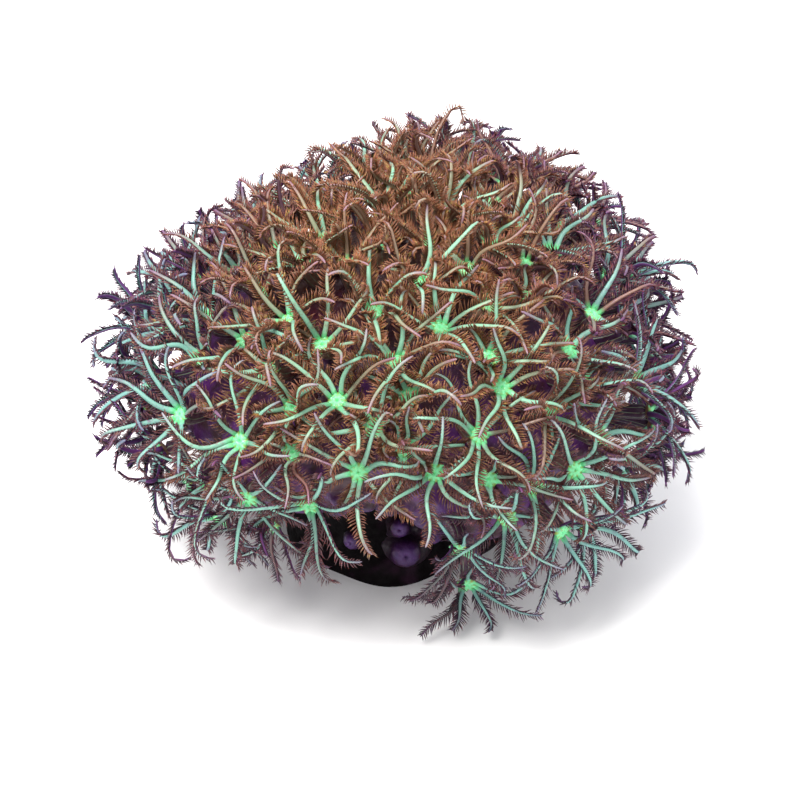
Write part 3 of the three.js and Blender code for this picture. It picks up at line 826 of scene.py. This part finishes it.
def mat_relief(points):
    """Height on the mat: a collar with a lip round each foot, a mound with a puckered top for each
    closed polyp, and wrinkles of layered noise."""
    relief = 0.16 * layered_noise(points, 2.6, 3, 11) + 0.3 * lattice_noise(points, 6, 5)
    swell = np.zeros(len(points))
    for polyp in POLYPS:
        distance = np.linalg.norm(points - polyp.foot, axis=1)
        collar = COLLAR_HEIGHT * bell(distance / COLLAR_RADIUS)
        swell = np.maximum(swell, collar + LIP_HEIGHT * bell((distance - LIP_RADIUS) / LIP_WIDTH))
    relief += swell
    mound = np.zeros(len(points))
    for middle in closed_on_mat():
        distance = np.linalg.norm(points - middle, axis=1)
        dome = MOUND_HEIGHT * np.exp(-((distance / MOUND_RADIUS) ** 4))
        mound = np.maximum(mound, dome - PUCKER_DEPTH * bell(distance / PUCKER_RADIUS))
    return relief + mound, mound


# The mat's rounded edge: shares of the hem's angle and depths under the surface in mm
EDGE = [(1.012, -0.35), (1.016, -0.9), (1.01, -1.6), (0.99, -2.6)]


def add_mat(patchwork, around, outer_rings):
    """A shell over the lump: rings of the relieved surface from the top down to the hem, round the edge,
    and back up the inside at the mat's thickness."""
    azimuth = -turn_angles(around)[None]
    hem = hem_polar(azimuth)
    share = np.linspace(0.004, 1, outer_rings)[:, None]
    direction = towards(azimuth, share * hem)
    flat = direction.reshape(-1, 3)
    outside = mat_point(flat)
    relief, mound = mat_relief(outside)
    fade = 1 - smooth_step(0.97, 1, np.broadcast_to(share, direction.shape[:2])).ravel()
    lifted = mat_point(flat, relief * fade).reshape(direction.shape)
    inner_depth = 0.05 - MAT_THICKNESS
    under = EDGE + [(share_in, inner_depth) for share_in in np.linspace(0.96, 0.02, 14)]
    turned_in = [mat_point(towards(azimuth, k * hem), depth) for k, depth in under]
    rings = np.concatenate([lifted, *turned_in])[None]
    poles = [mat_point(towards(0, 0), offset)[None] for offset in (0.2, inner_depth)]
    extra = np.zeros((len(under), around))
    mounds = np.concatenate([mound.reshape(direction.shape[:2]), extra])
    outward = unit(rings - MIDDLE)
    amber = smooth_step(0.2, 0.75, outward[..., 2])
    # Painted shade on the mat round the hollow
    shade = hollow_shade_share(outward) ** MAT_SHADE_SPREAD
    patchwork.add_tubes(rings, *poles, 0, out=mounds[None], shade=shade, amber=amber)


def add_rock(patchwork, around):
    """The rock: a dome under the mat, a rough waist and a flared foot, cut flat. Below the hem the rings
    blend quadratically from the hem through the waist to the foot, roughened by layered noise."""
    azimuth = -turn_angles(around)[None]
    hem = hem_polar(azimuth)
    seat = [mat_point(towards(azimuth, k * hem), ROCK_DEPTH) for k in np.linspace(0.02, 1, 20)]
    foot = rock_foot(azimuth)
    elbow = 2 * rock_waist(azimuth) - (seat[-1] + foot) / 2
    sides = []
    for t in np.linspace(0, 1, 60)[1:]:
        ring = seat[-1] * (1 - t) ** 2 + elbow * 2 * t * (1 - t) + foot * t * t
        out = ring * (1.0, 1.0, 0)
        rough = 1.1 * layered_noise(ring[0], 5, 4, 31)
        rough -= 0.9 * np.abs(layered_noise(ring[0], 2.4, 3, 47))
        strength = math.sin(math.pi * min(1, 0.12 + 0.88 * t) ** 0.8) ** 0.5 if t < 1 else 0
        sides.append(ring + unit(out) * (rough * strength)[None, :, None])
    cut = [foot * (k, k, 0) for k in np.linspace(0.92, 0.1, 6)]
    rings = np.concatenate([*seat, *sides, *cut])[None]
    top = mat_point(towards(0, 0), ROCK_DEPTH)[None]
    patchwork.add_tubes(rings, top, np.zeros((1, 3)), 0)


# Finishes

def tint(red, green, blue):
    """A colour given as screen values from 0 to 255, as the shader's own linear values."""
    screen = np.array([red, green, blue]) / 255
    linear = np.where(screen <= 0.04045, screen / 12.92, ((screen + 0.055) / 1.055) ** 2.4)
    return (*linear, 1.0)


MINT = tint(130, 184, 156)
SAGE = tint(142, 158, 130)
LILAC = tint(146, 108, 142)
TAN = tint(136, 108, 88)
MAUVE = tint(108, 62, 72)
MAROON = tint(50, 12, 26)
RUST = tint(122, 62, 46)
AMBER = tint(128, 80, 54)
GOLD = tint(172, 140, 74)
# The near-black that painted shade darkens colours towards
SHADE_PAINT = tint(26, 10, 22)
BROWN = tint(60, 30, 26)
VIOLET = tint(100, 54, 124)
PLUM = tint(54, 15, 64)
IRIS = tint(88, 54, 124)
STEEL = tint(104, 152, 160)
GLOW = tint(124, 224, 160)
OLIVE = tint(128, 150, 58)
PURPLE = tint(96, 36, 118)
WINE = tint(64, 18, 36)
# The rock's near-black is partly its own colour and partly painted shade
ROCK_DARK_AND_SHADE = tint(8, 4, 6)
ROCK_PALE = tint(38, 20, 34)


BLACK = (0.0, 0.0, 0.0, 1.0)


class Wiring:
    """A node tree being wired. A setting that is a socket is linked, and anything else is set."""

    def __init__(self, tree):
        self.tree = tree

    def node(self, kind, settings=None, **inputs):
        """A new node, with its settings and its inputs, where an underscore stands for a space."""
        node = self.tree.nodes.new(kind)
        for name, value in (settings or {}).items():
            setattr(node, name, value)
        for name, value in inputs.items():
            self.feed(node.inputs[name.replace("_", " ")], value)
        return node

    def feed(self, socket, value):
        """A link into the socket from another one, or a constant set on it."""
        if isinstance(value, bpy.types.NodeSocket):
            self.tree.links.new(value, socket)
        else:
            socket.default_value = value

    def value(self, name):
        """One of the piece's per-point values."""
        return self.node("ShaderNodeAttribute", {"attribute_name": name}).outputs["Fac"]

    def part_of(self, name, strength):
        """A per-point value times a strength."""
        return self.maths("MULTIPLY", self.value(name), strength)

    def mix(self, factor, first, second):
        """first · (1 − factor) + second · factor."""
        node = self.node("ShaderNodeMix", {"data_type": "RGBA"})
        for place, value in ((0, factor), (6, first), (7, second)):
            self.feed(node.inputs[place], value)
        return node.outputs[2]

    def maths(self, operation, first, second):
        """Blender's operation of that name on two numbers."""
        node = self.node("ShaderNodeMath", {"operation": operation})
        self.feed(node.inputs[0], first)
        self.feed(node.inputs[1], second)
        return node.outputs[0]

    def step(self, x, low, high):
        """The same as smooth_step, in nodes."""
        smooth = {"interpolation_type": "SMOOTHSTEP"}
        node = self.node("ShaderNodeMapRange", smooth, Value=x, From_Min=low, From_Max=high)
        return node.outputs["Result"]

    def noise(self, scale, detail):
        """Noise over the piece's own coordinates, with its cells to a metre and its finer layers."""
        place = self.node("ShaderNodeTexCoord").outputs["Object"]
        return self.node("ShaderNodeTexNoise", Vector=place, Scale=scale, Detail=detail).outputs["Fac"]

    def place(self, group, **inputs):
        """A shader group set in the tree with its inputs, and its outputs given back."""
        return self.node("ShaderNodeGroup", {"node_tree": group}, **inputs).outputs


def new_group(name, inputs, outputs):
    """An empty shader node group, with its named inputs' first values and its named outputs' kinds."""
    group = bpy.data.node_groups.new(name, "ShaderNodeTree")
    for socket_name, value in inputs.items():
        kind = "NodeSocketColor" if isinstance(value, tuple) else "NodeSocketFloat"
        group.interface.new_socket(socket_name, in_out="INPUT", socket_type=kind).default_value = value
    for socket_name, kind in outputs.items():
        group.interface.new_socket(socket_name, in_out="OUTPUT", socket_type=kind)
    wiring = Wiring(group)
    return group, wiring, wiring.node("NodeGroupInput").outputs, wiring.node("NodeGroupOutput").inputs


def mottle_group():
    """Two colours blotched together by noise: the ground where it is below low, the blotch above high."""
    group, wiring, given, result = new_group(
        "mottle",
        {"Ground": (1.0, 1.0, 1.0, 1.0), "Blotch": BLACK, "Scale": 800.0, "Low": 0.4, "High": 0.65},
        {"Color": "NodeSocketColor"},
    )
    mask = wiring.step(wiring.noise(given["Scale"], 3.0), given["Low"], given["High"])
    wiring.feed(result["Color"], wiring.mix(mask, given["Ground"], given["Blotch"]))
    return group


def skin_group():
    """The fine grain of wet living skin, as a normal and as a roughness that varies with it."""
    group, wiring, given, result = new_group(
        "wet_skin",
        {"Scale": 3000.0, "Depth": 0.5, "Least Roughness": 0.3, "Most Roughness": 0.5},
        {"Normal": "NodeSocketVector", "Roughness": "NodeSocketFloat"},
    )
    grain = wiring.noise(given["Scale"], 2.0)
    bump = wiring.node("ShaderNodeBump", Strength=given["Depth"], Distance=0.0002, Height=grain)
    spread = wiring.node("ShaderNodeMapRange", Value=grain, From_Min=0.3, From_Max=0.7,
                         To_Min=given["Least Roughness"], To_Max=given["Most Roughness"])
    wiring.feed(result["Normal"], bump.outputs["Normal"])
    wiring.feed(result["Roughness"], spread.outputs["Result"])
    return group


MOTTLE = mottle_group()
WET_SKIN = skin_group()
# How strongly painted shade darkens a colour
SHADE_PAINT_STRENGTH = 0.8


class Finish(Wiring):
    """A material being made, around its shader."""

    def __init__(self, name):
        self.material = bpy.data.materials.new(name)
        self.material.use_nodes = True
        super().__init__(self.material.node_tree)
        self.shader = self.material.node_tree.nodes["Principled BSDF"].inputs

    def mottled(self, ground, blotch, scale, low, high):
        """The ground with the blotch's colour where noise is high."""
        return self.place(MOTTLE, Ground=ground, Blotch=blotch, Scale=scale, Low=low, High=high)["Color"]

    def with_painted_shade(self, colour):
        """The colour, sunk towards a near-black plum where the piece lies in shade: painted shade."""
        return self.mix(self.part_of("shade", SHADE_PAINT_STRENGTH), colour, SHADE_PAINT)

    def wear(self, colour, scale, depth, least, most):
        """The colour under a wet skin, with its grain's scale and depth and its range of roughness."""
        skin = self.place(WET_SKIN, Scale=scale, Depth=depth, Least_Roughness=least, Most_Roughness=most)
        self.feed(self.shader["Base Color"], colour)
        self.feed(self.shader["Normal"], skin["Normal"])
        self.feed(self.shader["Roughness"], skin["Roughness"])

    def set(self, **values):
        """Constants set on the shader's own inputs."""
        for name, value in values.items():
            self.shader[name.replace("_", " ")].default_value = value
        return self.material


def arm_finish():
    """Arms: on the side of the mouth mint, or tan to mauve where an arm has little of it, ending in
    lilac, with a tan to mauve back. Steel and violet take over at the sides."""
    skin = Finish("arm_skin")
    amber = skin.value("amber")
    along = skin.value("along")
    dull = skin.mix(amber, MAUVE, TAN)
    wrapped = skin.maths("ADD", skin.value("oral"), skin.maths("POWER", skin.value("violet"), 2.0))
    oral = skin.step(wrapped, 0.3, 0.8)
    bright = skin.mix(amber, MINT, SAGE)
    bright = skin.mix(skin.step(skin.value("mint"), 0.35, 0.85), bright, MINT)
    bright = skin.mix(skin.part_of("violet", 0.7), bright, STEEL)
    fading = skin.maths("ADD", skin.part_of("amber", 0.4), 0.5)
    lasting = skin.maths("SUBTRACT", 1.1, skin.maths("MULTIPLY", along, fading))
    share = skin.step(skin.maths("MULTIPLY", skin.value("mint"), lasting), 0.1, 0.5)
    front = skin.mix(share, dull, bright)
    front = skin.mix(skin.step(along, 0.12, 0.0), front, GLOW)
    tip = skin.maths("MULTIPLY", skin.step(along, 0.65, 1.0), 0.6)
    front = skin.mix(tip, front, skin.mix(skin.value("violet"), LILAC, VIOLET))
    back = skin.mix(skin.part_of("violet", 0.9), dull, VIOLET)
    blotched = skin.mottled(skin.mix(oral, back, front), back, 1500.0, 0.52, 0.85)
    skin.wear(skin.with_painted_shade(blotched), 5000.0, 0.25, 0.35, 0.55)
    # Painted glow: the mint oral side gives off light of its own
    glow = skin.maths("MULTIPLY", oral, share)
    skin.feed(skin.shader["Emission Color"], skin.mix(glow, BLACK, front))
    return skin.set(Emission_Strength=0.1, Subsurface_Weight=0.1, Subsurface_Scale=0.0006)


def comb_finish():
    """Pinnules: maroon, amber on the crown and plum at the sides, with rust, violet or gold specks."""
    skin = Finish("pinnule_skin")
    ground = skin.mix(skin.value("amber"), MAROON, AMBER)
    ground = skin.mix(skin.part_of("violet", 0.85), ground, PLUM)
    tipped = skin.mix(skin.part_of("out", 0.25), ground, TAN)
    speck = skin.mix(skin.value("amber"), skin.mix(skin.value("violet"), RUST, VIOLET), GOLD)
    skin.feed(skin.shader["Base Color"], skin.with_painted_shade(skin.mottled(tipped, speck, 1600.0, 0.54, 0.72)))
    return skin.set(Roughness=0.5, Subsurface_Weight=0.15, Subsurface_Scale=0.0004)


def disc_finish():
    """Discs: a green centre and rays with a painted glow, and olive between them towards the rim."""
    skin = Finish("disc_skin")
    between = skin.step(skin.value("ray"), 0.5, -0.7)
    olive = skin.maths("MULTIPLY", between, skin.step(skin.value("out"), 0.35, 0.9))
    under = skin.step(skin.value("along"), 0.1, 0.4)
    green = skin.mix(olive, GLOW, OLIVE)
    green = skin.mix(skin.part_of("amber", 0.15), green, SAGE)
    speckled = skin.mottled(green, OLIVE, 2600.0, 0.55, 0.75)
    skin.wear(skin.with_painted_shade(skin.mix(under, speckled, TAN)), 4000.0, 0.3, 0.25, 0.45)
    # The painted glow is off underneath and where painted shade falls
    unlit = skin.maths("MAXIMUM", under, skin.part_of("shade", SHADE_PAINT_STRENGTH))
    skin.feed(skin.shader["Emission Color"], skin.mix(unlit, green, BLACK))
    return skin.set(Emission_Strength=0.22, Subsurface_Weight=0.2, Subsurface_Scale=0.0006)


def stalk_finish():
    """Stalks: tan above, mauve at the root, with paler lines up them."""
    skin = Finish("stalk_skin")
    ground = skin.mix(skin.step(skin.value("along"), 0.2, 0.9), TAN, MAUVE)
    ground = skin.mix(skin.value("violet"), ground, PLUM)
    lined = skin.mix(skin.step(skin.value("ray"), 0.5, 1.0), ground, SAGE)
    skin.wear(skin.mottled(skin.with_painted_shade(lined), MAROON, 1200.0, 0.5, 0.8), 4000.0, 0.3, 0.3, 0.5)
    return skin.set(Subsurface_Weight=0.2, Subsurface_Scale=0.0008)


def mat_finish():
    """The mat: glossy purple, browner on the crown, with blotches of wine and fine pale specks as painted
    glints.
    """
    skin = Finish("mat_skin")
    purple = skin.mix(skin.value("amber"), PURPLE, BROWN)
    ground = skin.mottled(purple, WINE, 260.0, 0.4, 0.62)
    # Fine pale specks: painted glints
    glint_specked = skin.mottled(ground, LILAC, 3200.0, 0.66, 0.76)
    top = skin.step(skin.value("out"), 0.7, 1.4)
    coloured = skin.mix(skin.maths("MULTIPLY", top, 0.7), glint_specked, IRIS)
    skin.wear(skin.with_painted_shade(coloured), 1500.0, 0.6, 0.35, 0.6)
    skin.set(Specular_IOR_Level=0.35, Coat_Weight=0.12, Coat_Roughness=0.2)
    return skin.set(Subsurface_Weight=0.15, Subsurface_Scale=0.001)


def rock_finish():
    """The rock: nearly black, partly as painted shade, with paler mauve crusts and a coarse, damp grain.
    """
    skin = Finish("dark_rock")
    skin.wear(skin.mottled(ROCK_DARK_AND_SHADE, ROCK_PALE, 220.0, 0.52, 0.7), 900.0, 0.9, 0.55, 0.9)
    return skin.set(Specular_IOR_Level=0.08)


# The pieces, and how finely the separate polyps and the crowds behind them are made

OWN_ARMS = {"arm_rings": 15, "arm_sides": 8, "pinnules": 26, "pinnule_rings": 2}
OWN_BODIES = {"around": 32, "stalk_rings": 8}
CROWD_ARMS = {"arm_rings": 11, "arm_sides": 6, "pinnules": 30, "pinnule_rings": 1}
CROWD_BODIES = {"around": 24, "stalk_rings": 6}
CROWDS = 5


def make_colony():
    """The rock, the mat, the closed polyps on the rock and the polyps that have nodes of their own. The
    others are joined in crowds, taken in turn round the lump."""
    rock = Patchwork()
    add_rock(rock, around=160)
    rock_piece = rock.build("rock_surface", [rock_finish()])
    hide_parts("rock")

    mat = Patchwork()
    add_mat(mat, around=280, outer_rings=130)
    mat_skin = mat_finish()
    mat_piece = mat.build("mat_surface", [mat_skin])
    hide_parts("mat")

    closed = Patchwork()
    add_closed_on_rock(closed, around=32)
    closed_piece = closed.build("closed_polyps", [mat_skin])
    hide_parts("rock")

    skins = [arm_finish(), comb_finish(), disc_finish(), stalk_finish()]
    for index in range(OWN_NODES):
        polyp = Patchwork()
        add_arms(polyp, [index], **OWN_ARMS)
        add_bodies(polyp, [index], **OWN_BODIES)
        polyp.hold_inside(CAD_BOX)
        piece = polyp.build(f"open_polyp_{index + 1:02d}", skins)
        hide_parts(f"polyp_{index + 1:02d}")

    by_azimuth = sorted(
        range(OWN_NODES, len(POLYPS)),
        key=lambda i: math.atan2(POLYPS[i].direction[1], POLYPS[i].direction[0]),
    )
    for number, chosen in enumerate(np.array_split(by_azimuth, CROWDS), start=1):
        crowd = Patchwork()
        add_arms(crowd, list(chosen), **CROWD_ARMS)
        add_bodies(crowd, list(chosen), **CROWD_BODIES)
        crowd.hold_inside(CAD_BOX)
        piece = crowd.build(f"polyp_crowd_{number}", skins)
        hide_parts("mat")


# The floor, the light and the camera

FLOOR_HALF_WIDTH = 2.5

# Each light's name, place in metres, width in metres, power in watts and colour
LIGHTS = [
    ("key", (-0.16, -0.16, 0.5), 0.25, 4.6, (1, 0.98, 0.95)),
    ("fill", (0.45, -0.3, 0.3), 0.5, 1.0, (0.94, 0.97, 1)),
    ("back", (0.1, 0.45, 0.35), 0.4, 1.6, (0.95, 0.93, 1)),
]
WORLD_STRENGTH = 0.78


def make_floor():
    """A pale square, wide enough to fill the view."""
    mesh = bpy.data.meshes.new("floor")
    half = FLOOR_HALF_WIDTH
    corners = [(-half, -half, 0), (half, -half, 0), (half, half, 0), (-half, half, 0)]
    mesh.from_pydata(corners, [], [(0, 1, 2, 3)])
    mesh.materials.append(Finish("pale_floor").set(Base_Color=tint(245, 245, 246), Roughness=0.85))
    floor = put("floor", mesh)


def add_light(name, place, size, power, colour):
    """A square soft light at a place in metres, turned to the middle of the colony."""
    data = bpy.data.lights.new(name, "AREA")
    data.size = size
    data.energy = power
    data.color = colour
    light = put(name, data)
    light.location = place
    light.rotation_euler = (Vector(place) - Vector(AIM * MM)).to_track_quat("Z", "Y").to_euler()


def make_lights():
    """The soft lights and an even white world, with colours shown as the finishes give them."""
    for light in LIGHTS:
        add_light(*light)
    world = bpy.data.worlds.new("studio")
    world.use_nodes = True
    background = world.node_tree.nodes["Background"].inputs
    background["Color"].default_value = (1, 1, 1, 1)
    background["Strength"].default_value = WORLD_STRENGTH
    bpy.context.scene.world = world
    bpy.context.scene.view_settings.view_transform = "Standard"


def make_camera():
    """A camera at the eye that looks at the aim. Its lens is the sensor's width times the eye's distance,
    over the width in mm that the picture spans at the aim."""
    data = bpy.data.cameras.new("camera")
    data.sensor_width = 36
    data.lens = data.sensor_width * UNITS_PER_MM * EYE_DISTANCE / PICTURE_WIDTH
    data.clip_start = 0.01
    camera = put("camera", data)
    camera.location = EYE * MM
    camera.rotation_euler = Vector(BACK).to_track_quat("Z", "Y").to_euler()
    bpy.context.scene.camera = camera


make_camera()
make_colony()
make_floor()
make_lights()
